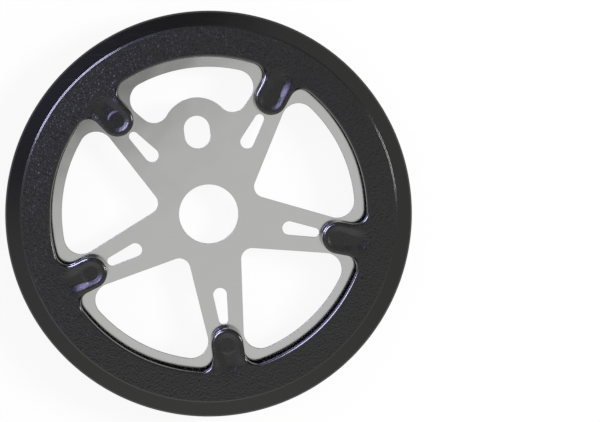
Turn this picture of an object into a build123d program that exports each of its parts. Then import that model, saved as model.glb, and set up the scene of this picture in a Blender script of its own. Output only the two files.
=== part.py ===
from build123d import *
import os
from math import cos, hypot, pi, radians, sin, tan

# Guarded bicycle chainwheel: a stamped steel chainwheel clamped between two moulded guard rings.
# The crank axis is Z, the front face of the chainwheel is z = 0 and the front looks along +Z.
# All sizes are in millimetres and all angles in degrees.

# Chainwheel plate and teeth
plate_thickness = 2.0
tooth_count = 36
chain_pitch = 12.7
roller_seat_radius = 4.0
tooth_height = 3.2
tooth_flank_angle = 15.0
tooth_bevel_depth = 0.4
tooth_bevel_reach = 1.6

# Seat of a one-piece crank
bore_diameter = 24.0
pin_slot_radius = 33.4
pin_slot_width = 10.4
pin_slot_length = 13.2

# Arms, windows and arm slots
arm_count = 5
first_arm_angle = 62.0
arm_taper_angle = 6.0
rim_width = 9.5
window_tip_radius = 20.9
window_tip_round = 4.5
window_corner_round = 7.0
pin_lobe_radius = 14.0
pin_lobe_valley_round = 6.0
arm_slot_inner_end = 30.3
arm_slot_inner_width = 5.6
arm_slot_outer_width = 3.8
arm_slot_setback = 0.7

# Guard rings, both from one mould form
guard_overhang = 5.4
guard_setback = 4.1
guard_thickness = 3.0
guard_band_width = 6.1
guard_crest_step = 0.35
guard_rim_drop = 0.3
guard_rim_bevel = 0.7
guard_edge_bevel = 0.8

# Fingers, the posts that stand on the arms, and the hollow crowns on the front fingers
boss_setback = 6.7
boss_radius = 6.5
boss_fillet = 5.0
post_height = 4.8
crown_height = 0.4
crown_reach = 10.4
crown_margin = 0.1
crown_land = 0.2
hollow_rim_width = 1.5
hollow_wall_width = 1.6
button_radius = 3.9
button_height = 0.15

# Screws, driven from behind
screw_diameter = 3.9
screw_clearance = 0.3
thread_clearance = 0.05
screw_end_gap = 0.4
pilot_floor = 2.4
screw_head_diameter = 7.6
screw_head_height = 2.6
screw_head_bevel = 0.9
head_clearance = 0.4
counterbore_depth = 3.4
recess_depth = 1.5
recess_width = 4.2
recess_bar = 1.0

# Worked-out sizes
pitch_radius = chain_pitch / (2 * sin(pi / tooth_count))
tip_radius = pitch_radius + tooth_height
root_radius = pitch_radius - roller_seat_radius
window_outer_radius = root_radius - rim_width
guard_outer_radius = tip_radius + guard_overhang
guard_crest_radius = guard_outer_radius - guard_band_width
guard_inner_radius = window_outer_radius + guard_setback
boss_circle_radius = window_outer_radius - boss_setback
hollow_radius = boss_radius - hollow_rim_width
arm_slot_outer_end = boss_circle_radius - boss_radius - arm_slot_setback
arm_step = 360 / arm_count
first_gap_angle = first_arm_angle + 180 / tooth_count
pin_window_angle = first_arm_angle + arm_step / 2
window_side_angle = arm_step / 2 + arm_taper_angle
window_apex = window_tip_radius + window_tip_round - window_tip_round / sin(radians(window_side_angle))
plate_back = -plate_thickness
guard_back = post_height
guard_face = post_height + guard_thickness
crown_top = guard_face + crown_height
crown_side = boss_radius - guard_edge_bevel - crown_margin
finger_reach = (guard_inner_radius + guard_crest_radius) / 2 - boss_circle_radius
rim_face = guard_face - guard_crest_step - guard_rim_drop
rear_face = plate_back - guard_face
head_seat = rear_face + counterbore_depth
pilot_depth = guard_face - pilot_floor
screw_end = pilot_depth - screw_end_gap

# Sketch of one tooth gap: a round roller seat that opens outwards along two straight flanks
flank_foot_x = -roller_seat_radius * sin(radians(tooth_flank_angle))
flank_foot_y = roller_seat_radius * cos(radians(tooth_flank_angle))
gap_mouth_x = 2 * tooth_height
gap_mouth_y = flank_foot_y + (gap_mouth_x - flank_foot_x) * tan(radians(tooth_flank_angle))
with BuildSketch() as tooth_gap:
    Circle(roller_seat_radius)
    Polygon(
        (flank_foot_x, flank_foot_y),
        (flank_foot_x, -flank_foot_y),
        (gap_mouth_x, -gap_mouth_y),
        (gap_mouth_x, gap_mouth_y),
        align=None,
    )

# Sketch of a plain window, centred on +X: a wedge with a round tip and an arc for its outer edge
wedge_reach = 2 * window_outer_radius
wedge_half_width = (wedge_reach - window_apex) * tan(radians(window_side_angle))
with BuildSketch() as plain_window:
    Polygon(
        (window_apex, 0),
        (wedge_reach, -wedge_half_width),
        (wedge_reach, wedge_half_width),
        align=None,
    )
    Circle(window_outer_radius, mode=Mode.INTERSECT)
    fillet(plain_window.vertices().sort_by(Axis.X)[1:], window_corner_round)
    fillet(plain_window.vertices().sort_by(Axis.X)[0], window_tip_round)

# Sketch of the window above the drive pin: the same wedge, filled by the lobe round the pin slot
lobe_foot = pin_slot_radius - pin_lobe_radius / 2
with BuildSketch() as pin_window:
    Polygon(
        (window_apex, 0),
        (wedge_reach, -wedge_half_width),
        (wedge_reach, wedge_half_width),
        align=None,
    )
    Circle(window_outer_radius, mode=Mode.INTERSECT)
    with Locations((pin_slot_radius, 0)):
        Circle(pin_lobe_radius, mode=Mode.SUBTRACT)
    with Locations((lobe_foot, 0)):
        Rectangle(lobe_foot, 2 * lobe_foot, align=(Align.MAX, Align.CENTER), mode=Mode.SUBTRACT)
    fillet(pin_window.vertices().sort_by(Axis.X)[-2:], window_corner_round)
    fillet(pin_window.vertices().sort_by(Axis.X)[:2], pin_lobe_valley_round)

# Sketch of an arm slot on +X, wide end towards the bore
arm_slot_inner_radius = arm_slot_inner_width / 2
arm_slot_outer_radius = arm_slot_outer_width / 2
with BuildSketch() as arm_slot:
    with Locations((arm_slot_inner_end + arm_slot_inner_radius, 0)):
        Circle(arm_slot_inner_radius)
    with Locations((arm_slot_outer_end - arm_slot_outer_radius, 0)):
        Circle(arm_slot_outer_radius)
    make_hull()

# Chainwheel
with BuildPart() as chainwheel:
    with BuildSketch():
        Circle(tip_radius)
        with PolarLocations(pitch_radius, tooth_count, first_gap_angle):
            add(tooth_gap.sketch, mode=Mode.SUBTRACT)
        for window_index in range(1, arm_count):
            with PolarLocations(0, 1, pin_window_angle + window_index * arm_step):
                add(plain_window.sketch, mode=Mode.SUBTRACT)
        with PolarLocations(0, 1, pin_window_angle):
            add(pin_window.sketch, mode=Mode.SUBTRACT)
        with PolarLocations(pin_slot_radius, 1, pin_window_angle):
            SlotOverall(pin_slot_length, pin_slot_width, mode=Mode.SUBTRACT)
        with PolarLocations(0, arm_count, first_arm_angle):
            add(arm_slot.sketch, mode=Mode.SUBTRACT)
        with PolarLocations(boss_circle_radius, arm_count, first_arm_angle):
            Circle(screw_diameter / 2 + screw_clearance, mode=Mode.SUBTRACT)
        Circle(bore_diameter / 2, mode=Mode.SUBTRACT)
    extrude(amount=-plate_thickness)
    # The teeth thin towards their tips on both faces
    with BuildSketch(Plane.XZ):
        Polygon(
            (0, plate_back),
            (tip_radius - tooth_bevel_reach, plate_back),
            (tip_radius, plate_back + tooth_bevel_depth),
            (tip_radius, -tooth_bevel_depth),
            (tip_radius - tooth_bevel_reach, 0),
            (0, 0),
            align=None,
        )
    revolve(axis=Axis.Z, mode=Mode.INTERSECT)

# Flat outline of a guard ring inside its crest, with the five fingers
with BuildSketch() as guard_outline:
    Circle(guard_crest_radius)
    Circle(guard_inner_radius, mode=Mode.SUBTRACT)
    with PolarLocations(boss_circle_radius, arm_count, first_arm_angle):
        Circle(boss_radius)
        Rectangle(finger_reach, 2 * boss_radius, align=(Align.MIN, Align.CENTER))
    finger_roots = guard_outline.vertices().group_by(
        lambda v: abs(round(hypot(v.X, v.Y) - guard_inner_radius, 3))
    )[0]
    fillet(finger_roots, boss_fillet)

# Mould form shared by both guard rings, as it stands on the front of the chainwheel
with BuildPart() as guard_form:
    with BuildSketch(Plane.XY.offset(guard_back)):
        add(guard_outline.sketch)
    extrude(amount=guard_thickness)
    chamfer(guard_form.faces().sort_by(Axis.Z)[-1].inner_wires().edges(), guard_edge_bevel)
    # Band between the crest and the rim, a little lower than the face and falling outwards
    with BuildSketch(Plane.XZ) as band_section:
        Polygon(
            (guard_crest_radius - guard_thickness, guard_back),
            (guard_outer_radius, guard_back),
            (guard_outer_radius, rim_face),
            (guard_crest_radius, guard_face - guard_crest_step),
            (guard_crest_radius - guard_thickness, guard_face - guard_crest_step),
            align=None,
        )
        chamfer(band_section.vertices().group_by(Axis.X)[-1], guard_rim_bevel)
    revolve(axis=Axis.Z)
    with BuildSketch():
        with PolarLocations(boss_circle_radius, arm_count, first_arm_angle):
            Circle(boss_radius)
    extrude(amount=guard_back)

# Hollow in a crown on +X: round under the nose and open towards the ring
hollow_middle = boss_circle_radius + crown_reach / 2
with BuildPart() as crown_hollow:
    with BuildSketch(Plane.XY.offset(guard_face)):
        with Locations((hollow_middle, 0)):
            SlotCenterToCenter(crown_reach, 2 * (hollow_radius - hollow_wall_width))
    with BuildSketch(Plane.XY.offset(crown_top)):
        with Locations((hollow_middle, 0)):
            SlotCenterToCenter(crown_reach, 2 * hollow_radius)
    loft(ruled=True)

# One crown on +X: a raised rim round the nose, sloping away towards the ring on both sides
with BuildPart() as one_crown:
    with BuildSketch(Plane.XY.offset(guard_face)):
        with Locations((boss_circle_radius + (crown_reach - crown_side) / 2, 0)):
            Ellipse((crown_reach + crown_side) / 2, crown_side)
    with BuildSketch(Plane.XY.offset(crown_top)):
        with Locations((boss_circle_radius, 0)):
            Circle(hollow_radius + crown_land)
    loft(ruled=True)
    add(crown_hollow.part, mode=Mode.SUBTRACT)

# Front guard ring: a crown and a low button on each finger's nose, and a blind pilot hole in each post
with BuildPart() as front_guard_ring:
    add(guard_form.part)
    with PolarLocations(0, arm_count, first_arm_angle):
        add(one_crown.part)
    with BuildSketch(Plane.XY.offset(guard_face)):
        with PolarLocations(boss_circle_radius, arm_count, first_arm_angle):
            Circle(button_radius)
    extrude(amount=button_height)
    with BuildSketch():
        with PolarLocations(boss_circle_radius, arm_count, first_arm_angle):
            Circle(screw_diameter / 2 + thread_clearance)
    extrude(amount=pilot_depth, mode=Mode.SUBTRACT)

# Rear guard ring: the same form turned to face backwards, bored and counterbored for the screws
with BuildPart() as rear_guard_ring:
    add(mirror(guard_form.part, about=Plane.XY.offset(plate_back / 2), mode=Mode.PRIVATE))
    with BuildSketch(Plane.XY.offset(plate_back)):
        with PolarLocations(boss_circle_radius, arm_count, first_arm_angle):
            Circle(screw_diameter / 2 + screw_clearance)
    extrude(amount=-guard_face, mode=Mode.SUBTRACT)
    with BuildSketch(Plane.XY.offset(rear_face)):
        with PolarLocations(boss_circle_radius, arm_count, first_arm_angle):
            Circle(screw_head_diameter / 2 + head_clearance)
    extrude(amount=counterbore_depth, mode=Mode.SUBTRACT)

# One screw on +X: a pan head on the counterbore floor, a blunt shank and a cross recess
with BuildPart() as one_screw:
    with BuildSketch(Plane.XZ) as screw_section:
        with BuildLine():
            Polyline(
                (boss_circle_radius, head_seat - screw_head_height),
                (boss_circle_radius + screw_head_diameter / 2, head_seat - screw_head_height),
                (boss_circle_radius + screw_head_diameter / 2, head_seat),
                (boss_circle_radius + screw_diameter / 2, head_seat),
                (boss_circle_radius + screw_diameter / 2, screw_end),
                (boss_circle_radius, screw_end),
                close=True,
            )
        make_face()
        chamfer(screw_section.vertices().group_by(Axis.Y)[0].sort_by(Axis.X)[-1], screw_head_bevel)
    revolve(axis=Axis((boss_circle_radius, 0, 0), (0, 0, 1)))
    with BuildSketch(Plane.XY.offset(head_seat - screw_head_height)):
        with Locations((boss_circle_radius, 0)):
            Rectangle(recess_width, recess_bar)
            Rectangle(recess_bar, recess_width)
    extrude(amount=recess_depth, mode=Mode.SUBTRACT)

# Guard screws: one through each arm
with BuildPart() as guard_screws:
    with PolarLocations(0, arm_count, first_arm_angle):
        add(one_screw.part)

os.makedirs("parts", exist_ok=True)
chainwheel.part.label = "chainwheel"
front_guard_ring.part.label = "front_guard_ring"
rear_guard_ring.part.label = "rear_guard_ring"
guard_screws.part.label = "guard_screws"
export_step(chainwheel.part, "parts/chainwheel.step")
export_step(front_guard_ring.part, "parts/front_guard_ring.step")
export_step(rear_guard_ring.part, "parts/rear_guard_ring.step")
export_step(guard_screws.part, "parts/guard_screws.step")
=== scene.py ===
import math

import bmesh
import bpy
from bpy.props import FloatProperty, FloatVectorProperty, IntProperty, PointerProperty
from mathutils import Matrix, Vector
from mathutils.geometry import tessellate_polygon


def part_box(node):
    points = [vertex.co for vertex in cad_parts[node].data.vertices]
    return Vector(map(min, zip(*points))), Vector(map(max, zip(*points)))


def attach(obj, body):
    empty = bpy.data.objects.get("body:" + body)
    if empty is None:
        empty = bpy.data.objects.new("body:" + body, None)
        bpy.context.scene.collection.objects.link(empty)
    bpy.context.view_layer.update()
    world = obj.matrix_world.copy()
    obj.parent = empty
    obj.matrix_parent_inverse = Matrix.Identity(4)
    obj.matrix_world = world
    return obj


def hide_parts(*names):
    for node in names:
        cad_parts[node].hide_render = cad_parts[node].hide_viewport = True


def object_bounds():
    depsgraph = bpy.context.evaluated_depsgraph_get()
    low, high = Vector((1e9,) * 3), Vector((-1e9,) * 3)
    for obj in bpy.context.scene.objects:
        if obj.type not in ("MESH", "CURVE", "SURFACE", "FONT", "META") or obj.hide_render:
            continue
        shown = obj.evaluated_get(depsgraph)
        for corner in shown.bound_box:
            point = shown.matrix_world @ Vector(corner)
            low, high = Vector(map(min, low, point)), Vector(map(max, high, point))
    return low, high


bl_info = {
    "name": "Guarded Chainwheel",
    "version": (1, 0, 0),
    "blender": (4, 5, 0),
    "location": "3D View > Sidebar > Chainwheel",
    "description": "Dresses a chromed bicycle chainwheel, its two guard rings and their screws",
    "category": "Object",
}

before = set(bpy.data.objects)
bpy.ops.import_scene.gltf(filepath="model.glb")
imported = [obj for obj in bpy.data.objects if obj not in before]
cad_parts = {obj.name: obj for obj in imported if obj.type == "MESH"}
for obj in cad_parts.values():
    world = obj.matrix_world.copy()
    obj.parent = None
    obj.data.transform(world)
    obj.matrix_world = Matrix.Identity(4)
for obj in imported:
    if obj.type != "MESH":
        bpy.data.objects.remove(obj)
cad_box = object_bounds()
wheel_low, wheel_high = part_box("chainwheel")
front_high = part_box("front_guard_ring")[1]
screw_low, screw_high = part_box("guard_screws")

MM = 0.001
BODY = "root"
ORIGIN = Vector((0, 0))
WHITE = (1, 1, 1)

WELD = 0.001 * MM
ARC_ERROR = 0.004 * MM
SHARP_ANGLE = math.radians(40)
LEVEL_NORMAL = 0.99999
RING_STEP = math.radians(1)
HOLE_SIDES = 96
SCREW_SIDES = 48
THREAD_ROWS = 10
CREST_STEPS = 10
SIDE_STEPS = 8
BOW_STEPS = 40
NOSE_RINGS = 40

FLOOR_HALF = 3.0
FLOOR_GAP = 0.05 * MM

# Share of the crest's slope that lies inside the crest
CREST_INSIDE = 0.66
# Shares of the hollow's reach between which the crown's rim and the smooth nose run out
CROWN_FADE = (0.3, 0.68)
SMOOTH_FADE = (0.6, 0.8)
# Shares of the crown's radius between which the rim's grain sets in
MARGIN_FADE = (0.9, 1.05)
# Distances count for less at the nose's tip, where the grain sets in further out
MARGIN_AT_TIP = 0.9
# Grain that is left in the hollow and on the rounded edges
HOLLOW_GRAIN = 0.25
EDGE_GRAIN = 0.1
# The hollow starts to sink this far outside the post's axis
TROUGH_START = 2 * MM
# The button's edge is this wide, and low on the side away from the ring
BUTTON_SLOPE = 0.8 * MM
BUTTON_LOW = 0.3
BUTTON_FADE = (0.5, 0.85)
# How much the hollow's floor narrows towards the ring and widens towards the nose's tip
FLOOR_TAPER = 0.9
FLOOR_SPREAD = 0.07
# The nose's patch reaches this far past the hollow
PATCH_MARGIN = 0.5 * MM
# Half width of a thread's ridge, as a share of its pitch
RIDGE_SHARE = 0.3
# Middle of the dark part of the studio, behind the camera
DARK_MIDDLE = (-0.181, 0.189, 0.965)
# How far off its middle the glow starts to fall, and where it ends
GLOW_FALL = (0.15, 0.52)


def size(name, description, millimetres):
    """A length that a user may change."""
    return FloatProperty(
        name=name, description=description, default=millimetres * MM, unit="LENGTH", precision=5
    )


def angle(name, description, degrees):
    """An angle that a user may change."""
    return FloatProperty(
        name=name, description=description, default=math.radians(degrees), subtype="ANGLE"
    )


def share(name, description, value):
    """A share of something that a user may change."""
    return FloatProperty(
        name=name, description=description, default=value, min=0.0, subtype="FACTOR"
    )


def number(name, description, value):
    """A plain number that a user may change."""
    return FloatProperty(name=name, description=description, default=value)


def tint(name, description, colour):
    """A colour that a user may change."""
    return FloatVectorProperty(
        name=name, description=description, default=colour,
        size=3, min=0.0, max=1.0, subtype="COLOR",
    )


class ChainwheelSizes(bpy.types.PropertyGroup):
    """Sizes of the stamped chainwheel."""

    tooth_count: IntProperty(name="Teeth", description="Teeth round the wheel", default=36, min=8)
    chain_pitch: size("Chain pitch", "Distance from roller to roller", 12.7)
    seat_radius: size("Roller seat", "Radius of the seat between two teeth", 4.0)
    tooth_height: size("Tooth height", "How far a tooth rises above the pitch circle", 3.2)
    flank_angle: angle("Flank angle", "Lean of a tooth's flanks", 15)
    tip_round: size("Tip round", "Round on the corners of a tooth's tip", 0.5)
    bevel_depth: size("Tooth bevel", "How much a tooth thins on each face at its tip", 0.4)
    bevel_reach: size("Bevel reach", "How far the bevel runs in from the tip", 1.6)
    edge_round: size("Edge round", "Round that polishing leaves on the stamped edges", 0.08)
    bore_diameter: size("Bore", "Diameter of the crank's hole", 24.0)
    pin_radius: size("Pin slot place", "Distance of the drive-pin slot from the bore", 33.4)
    pin_width: size("Pin slot width", "Width of the drive-pin slot", 10.4)
    pin_length: size("Pin slot length", "Length of the drive-pin slot", 13.2)
    arm_taper: angle("Arm taper", "Lean of each side of an arm", 6)
    rim_width: size("Rim width", "Metal between the tooth roots and the windows", 9.5)
    window_tip: size("Window tip", "Distance of a window's inner end from the bore's centre", 20.9)
    window_tip_round: size("Window tip round", "Round at a window's inner end", 4.5)
    window_corner_round: size("Window corner round", "Round at a window's outer corners", 7.0)
    lobe_radius: size("Pin lobe", "Radius of the metal round the drive-pin slot", 14.0)
    valley_round: size("Valley round", "Round between the pin lobe and the arms beside it", 6.0)
    slot_inner_end: size("Arm slot start", "Distance of an arm slot's wide end from the bore", 30.3)
    slot_inner_width: size("Arm slot wide end", "Width of an arm slot towards the bore", 5.6)
    slot_outer_width: size("Arm slot narrow end", "Width of an arm slot towards the rim", 3.8)
    slot_setback: size("Arm slot setback", "Metal between an arm slot and a post", 0.7)
    hole_diameter: size("Screw hole", "Hole for a screw in an arm", 4.5)


class GuardSizes(bpy.types.PropertyGroup):
    """Sizes of the two moulded guard rings."""

    finger_count: IntProperty(name="Fingers", description="Fingers round a ring", default=5, min=2)
    first_angle: angle("First finger", "Angle of the first finger from the X axis", 62)
    overhang: size("Overhang", "How far the rings reach beyond the teeth", 5.37)
    setback: size("Setback", "How far a ring's inner edge lies outside the windows", 4.1)
    thickness: size("Thickness", "Thickness of a ring", 3.0)
    band_width: size("Band width", "Width of the smooth band outside the crest", 6.1)
    crest_step: size("Crest step", "Height of the face above the band", 0.35)
    crest_bevel: size("Crest bevel", "Width of the slope from the face to the band", 0.66)
    rim_drop: size("Rim drop", "How far the band falls to the rim", 0.3)
    rim_bevel: size("Rim bevel", "Bevel between the band and the rim", 0.7)
    rim_round: size("Rim round", "Round on the rim's inner edge", 0.6)
    edge_round: size("Edge round", "Round along the inner edge and the fingers", 0.8)
    boss_setback: size("Post place", "Distance of a post inside the windows' outer edge", 6.7)
    boss_radius: size("Post radius", "Radius of a post and of a finger's nose", 6.5)
    root_fillet: size("Finger root", "Fillet where a finger leaves the ring", 5.0)
    crown_height: size("Crown height", "Rise of the rim round a finger's nose", 0.4)
    crown_radius: size("Crown radius", "Distance of the rim's crest from the post's axis", 5.0)
    hollow_foot: size("Hollow foot", "Half width of the hollow's floor at the post's axis", 2.5)
    hollow_reach: size("Hollow reach", "How far the hollow runs out towards the ring", 13.5)
    hollow_depth: size("Hollow depth", "Depth of the hollow at the post's axis", 0.06)
    trough_depth: size("Trough depth", "Depth of the hollow's lowest point", 0.42)
    trough_middle: size("Trough middle", "Lowest point's distance from the post's axis", 7.8)
    button_radius: size("Button radius", "Radius of the low button in the hollow", 3.6)
    button_height: size("Button height", "Height of the low button in the hollow", 0.15)
    post_round: size("Post round", "Round at a post's end", 0.3)
    pilot_diameter: size("Pilot hole", "Hole that a screw cuts its thread in", 4.0)
    pilot_depth: size("Pilot depth", "Depth of the pilot hole from the chainwheel", 5.4)
    hole_diameter: size("Rear hole", "Hole for a screw in a rear post", 4.5)
    counterbore_diameter: size("Counterbore", "Diameter of the seat for a screw head", 8.4)
    counterbore_depth: size("Counterbore depth", "Depth of the seat for a screw head", 3.4)
    counterbore_round: size("Counterbore round", "Round at the mouth of the seat", 0.3)


class ScrewSizes(bpy.types.PropertyGroup):
    """Sizes of the guard screws."""

    head_diameter: size("Head diameter", "Diameter of the pan head", 7.6)
    head_height: size("Head height", "Height of the pan head", 2.6)
    head_round: size("Head round", "Round on the pan head", 1.3)
    thread_diameter: size("Thread diameter", "Diameter over the thread", 3.9)
    thread_pitch: size("Thread pitch", "Rise of the thread in one turn", 1.6)
    thread_depth: size("Thread depth", "Depth of the thread", 0.55)
    recess_width: size("Recess width", "Length of the cross recess", 4.2)
    recess_bar: size("Recess bar", "Width of each bar of the recess", 1.0)
    recess_depth: size("Recess depth", "Depth of the cross recess", 1.5)


class FinishColours(bpy.types.PropertyGroup):
    """Colours and gloss of the finishes."""

    chrome: tint("Chrome", "Colour of the plated chainwheel", (0.62, 0.622, 0.607))
    plastic: tint("Plastic", "Colour of the guard rings", (0.0046, 0.0046, 0.0038))
    zinc: tint("Zinc", "Colour of the screws", (0.55, 0.55, 0.52))
    chrome_roughness: share("Chrome roughness", "Roughness of the plating", 0.11)
    face_roughness: share("Face roughness", "Roughness of the grained faces", 0.20)
    nose_roughness: share("Nose roughness", "Roughness of the hollows in the fingers", 0.22)
    band_roughness: share("Band roughness", "Roughness of the smooth band and the edges", 0.16)
    inside_roughness: share("Inside roughness", "Roughness of the faces towards the chain", 0.07)
    zinc_roughness: share("Zinc roughness", "Roughness of the screws", 0.3)


class StageSettings(bpy.types.PropertyGroup):
    """Camera, floor and lights."""

    camera_distance: size("Camera distance", "Distance of the camera from the bore", 700)
    camera_azimuth: angle("Camera azimuth", "Turn of the camera towards -X", 1.39)
    camera_elevation: angle("Camera elevation", "Rise of the camera towards +Y", 3.82)
    lens: number("Lens", "Focal length in millimetres", 103.96)
    shift_x: number("Shift across", "Sideways shift of the frame", 0.1521)
    shift_y: number("Shift up", "Upward shift of the frame", 0.0052)
    floor_white: share("Floor white", "How much of the floor's white doesn't take shadow", 0.9)
    world_level: share("World level", "Level of the light from all round", 0.60)
    studio_level: share("Studio level", "Level of the studio that shows in reflections", 0.72)
    key_azimuth: angle("Key azimuth", "Direction of the key light round the crank axis", 140)
    key_tilt: angle("Key tilt", "Angle of the key light off the crank axis", 54)
    key_distance: size("Key distance", "Distance of the key light from the bore", 500)
    key_width: size("Key width", "Width of the key light", 280)
    key_height: size("Key height", "Height of the key light", 240)
    key_power: number("Key power", "Watts of the key light", 9.5)
    key_colour: tint("Key colour", "Colour of the key light", (0.72, 0.71, 1.0))
    glow_tilt: angle("Glow tilt", "Angle of the glow's middle off the crank axis", 38)
    glow_level: number("Glow", "Brightness of the glow round the key light in a reflection", 9.0)
    glow_colour: tint("Glow colour", "Colour of the glow round the key light", (0.55, 0.53, 1.0))
    fill_azimuth: angle("Fill azimuth", "Direction of the fill light round the crank axis", 13)
    fill_tilt: angle("Fill tilt", "Angle of the fill light off the crank axis", 54)
    fill_distance: size("Fill distance", "Distance of the fill light from the bore", 900)
    fill_width: size("Fill width", "Width and height of the fill light", 250)
    fill_power: number("Fill power", "Watts of the fill light", 6.5)


SETTINGS = {
    "wheel_sizes": ChainwheelSizes,
    "guard_sizes": GuardSizes,
    "screw_sizes": ScrewSizes,
    "finish_colours": FinishColours,
    "stage_settings": StageSettings,
}


def polar(radius, turn):
    """The point at a radius and an angle."""
    return Vector((radius * math.cos(turn), radius * math.sin(turn)))


def arc(centre, radius, start, end, side=1):
    """Points along an arc with normals into the metal, which lies outside it if side is 1."""
    steps = max(2, math.ceil(abs(end - start) / math.sqrt(8 * ARC_ERROR / radius)))
    run = []
    for i in range(steps + 1):
        outward = polar(1, start + (end - start) * i / steps)
        run.append((centre + radius * outward, side * outward))
    return run


def circle(centre, radius):
    """A round hole's closed outline."""
    return arc(centre, radius, 0, 2 * math.pi)[:-1]


def turned(outline, turn):
    """An outline turned round the crank axis."""
    spin = polar(1, turn)

    def rotate(v):
        return Vector((v.x * spin.x - v.y * spin.y, v.x * spin.y + v.y * spin.x))

    return [(rotate(p), rotate(n)) for p, n in outline]


def mirrored(outline):
    """An outline mirrored across the X axis, run through backwards."""
    return [(Vector((p.x, -p.y)), Vector((n.x, -n.y))) for p, n in reversed(outline)]


def quarter_round(radius, steps):
    """Inset and drop along a round edge, from the face to the wall."""
    turns = [math.pi / 2 * i / steps for i in range(steps + 1)]
    return [(radius * (1 - math.sin(t)), radius * (1 - math.cos(t))) for t in turns]


def ease(value, start=0.0, end=1.0):
    """Smooth step from 0 at start to 1 at end."""
    t = min(1.0, max(0.0, (value - start) / (end - start)))
    return t * t * (3 - 2 * t)


def ramp(value, start=0.0, end=1.0):
    """Straight climb from 0 at start to 1 at end, with short eased ends."""
    ends = 0.25
    t = min(1.0, max(0.0, (value - start) / (end - start)))
    if t < ends:
        return t * t / (2 * ends * (1 - ends))
    if t > 1 - ends:
        return 1 - ramp(1 - t)
    return (t - ends / 2) / (1 - ends)


def add_rows(bm, rows, closed):
    """Joins rows of points that run side by side with four-sided faces."""
    made = []
    rings = [[bm.verts.new(p) for p in row] for row in rows]
    for upper, lower in zip(rings, rings[1:]):
        count = len(upper)
        for i in range(count if closed else count - 1):
            j = (i + 1) % count
            made.append(bm.faces.new((upper[i], upper[j], lower[j], lower[i])))
    return made


def add_flat(bm, loops, height):
    """Fills a flat region, the first loop round it and the others round its holes.

    The faces that fill it are given back.
    """
    verts = [bm.verts.new((p.x, p.y, height)) for loop in loops for p in loop]
    triangles = tessellate_polygon([[Vector((p.x, p.y, 0)) for p in loop] for loop in loops])
    made = [bm.faces.new([verts[i] for i in t]) for t in triangles]
    inner = dict.fromkeys(e for f in made for e in f.edges if len(e.link_faces) == 2)
    bmesh.ops.beautify_fill(bm, faces=made, edges=list(inner), method="ANGLE")
    return {f for v in verts for f in v.link_faces}


def add_disc(bm, row, centre):
    """Closes a round row with a fan to its centre."""
    hub = bm.verts.new(centre)
    rim = [bm.verts.new(p) for p in row]
    return [bm.faces.new((rim[i - 1], rim[i], hub)) for i in range(len(rim))]


def add_turned(bm, profile, centre, count):
    """A surface turned round a centre from radius and height pairs, and its rows of points."""
    turns = [2 * math.pi * i / count for i in range(count)]
    rows = [[(*(centre + polar(r, t)), height) for t in turns] for r, height in profile]
    return add_rows(bm, rows, closed=True), rows


def set_zone(layers, faces, grain, roughness):
    """Notes on each face how grained and how rough its mould was."""
    for face in faces:
        face[layers[0]] = grain
        face[layers[1]] = roughness


def plain_mesh(piece):
    """Gives the piece the mesh that its modifiers make, and removes them."""
    evaluated = piece.evaluated_get(bpy.context.evaluated_depsgraph_get())
    mesh = bpy.data.meshes.new_from_object(evaluated)
    piece.modifiers.clear()
    piece.data = mesh
    mesh.name = piece.name


def close_up(piece, keep_flat=False):
    """Welds a piece, turns its faces outwards, marks sharp edges and evens its shading.

    With keep_flat, the edges all round its level faces are sharp too.
    """
    bm = bmesh.new()
    bm.from_mesh(piece.data)
    bmesh.ops.remove_doubles(bm, verts=bm.verts, dist=WELD)
    bmesh.ops.recalc_face_normals(bm, faces=bm.faces)
    for face in bm.faces:
        face.smooth = True
    for edge in bm.edges:
        edge.smooth = edge.is_manifold and edge.calc_face_angle() < SHARP_ANGLE
        if keep_flat and len({abs(f.normal.z) > LEVEL_NORMAL for f in edge.link_faces}) == 2:
            edge.smooth = False
    open_edges = [e for e in bm.edges if not e.is_manifold]
    bm.to_mesh(piece.data)
    bm.free()
    if open_edges:
        raise RuntimeError(f"{piece.name} has {len(open_edges)} open edges")
    weighted = piece.modifiers.new("Even normals", "WEIGHTED_NORMAL")
    weighted.keep_sharp = True
    plain_mesh(piece)


def new_piece(name, bm):
    """Makes a mesh object from a bmesh and links it to the scene."""
    mesh = bpy.data.meshes.new(name)
    bm.to_mesh(mesh)
    bm.free()
    piece = bpy.data.objects.new(name, mesh)
    bpy.context.scene.collection.objects.link(piece)
    return piece


def stand_for(piece, node):
    """Rides the piece on the frame in place of a CAD node."""
    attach(piece, BODY)
    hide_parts(node)


def feed(tree, node, inputs):
    """Links a socket, or sets a plain value, at each of a node's inputs."""
    for name, value in inputs.items():
        if isinstance(value, bpy.types.NodeSocket):
            tree.links.new(value, node.inputs[name])
        else:
            node.inputs[name].default_value = value


def add_node(tree, kind, place, inputs=None, **settings):
    """Adds a node at a place, with its settings and what feeds its inputs."""
    node = tree.nodes.new(kind)
    node.location = place
    for name, value in settings.items():
        setattr(node, name, value)
    feed(tree, node, inputs or {})
    return node


def add_math(tree, place, operation, *values):
    """A math node on sockets and numbers."""
    inputs = dict(enumerate(values))
    return add_node(tree, "ShaderNodeMath", place, inputs, operation=operation).outputs[0]


def add_range(tree, place, value, before, after, kind="LINEAR"):
    """Maps a value from one range to another."""
    inputs = {"Value": value, "From Min": before[0], "From Max": before[1]}
    inputs.update({"To Min": after[0], "To Max": after[1]})
    node = add_node(tree, "ShaderNodeMapRange", place, inputs, interpolation_type=kind)
    return node.outputs["Result"]


def add_noise(tree, place, coords, scale, detail):
    """A noise texture's value."""
    inputs = {"Vector": coords, "Scale": scale, "Detail": detail}
    return add_node(tree, "ShaderNodeTexNoise", place, inputs).outputs["Fac"]


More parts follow.
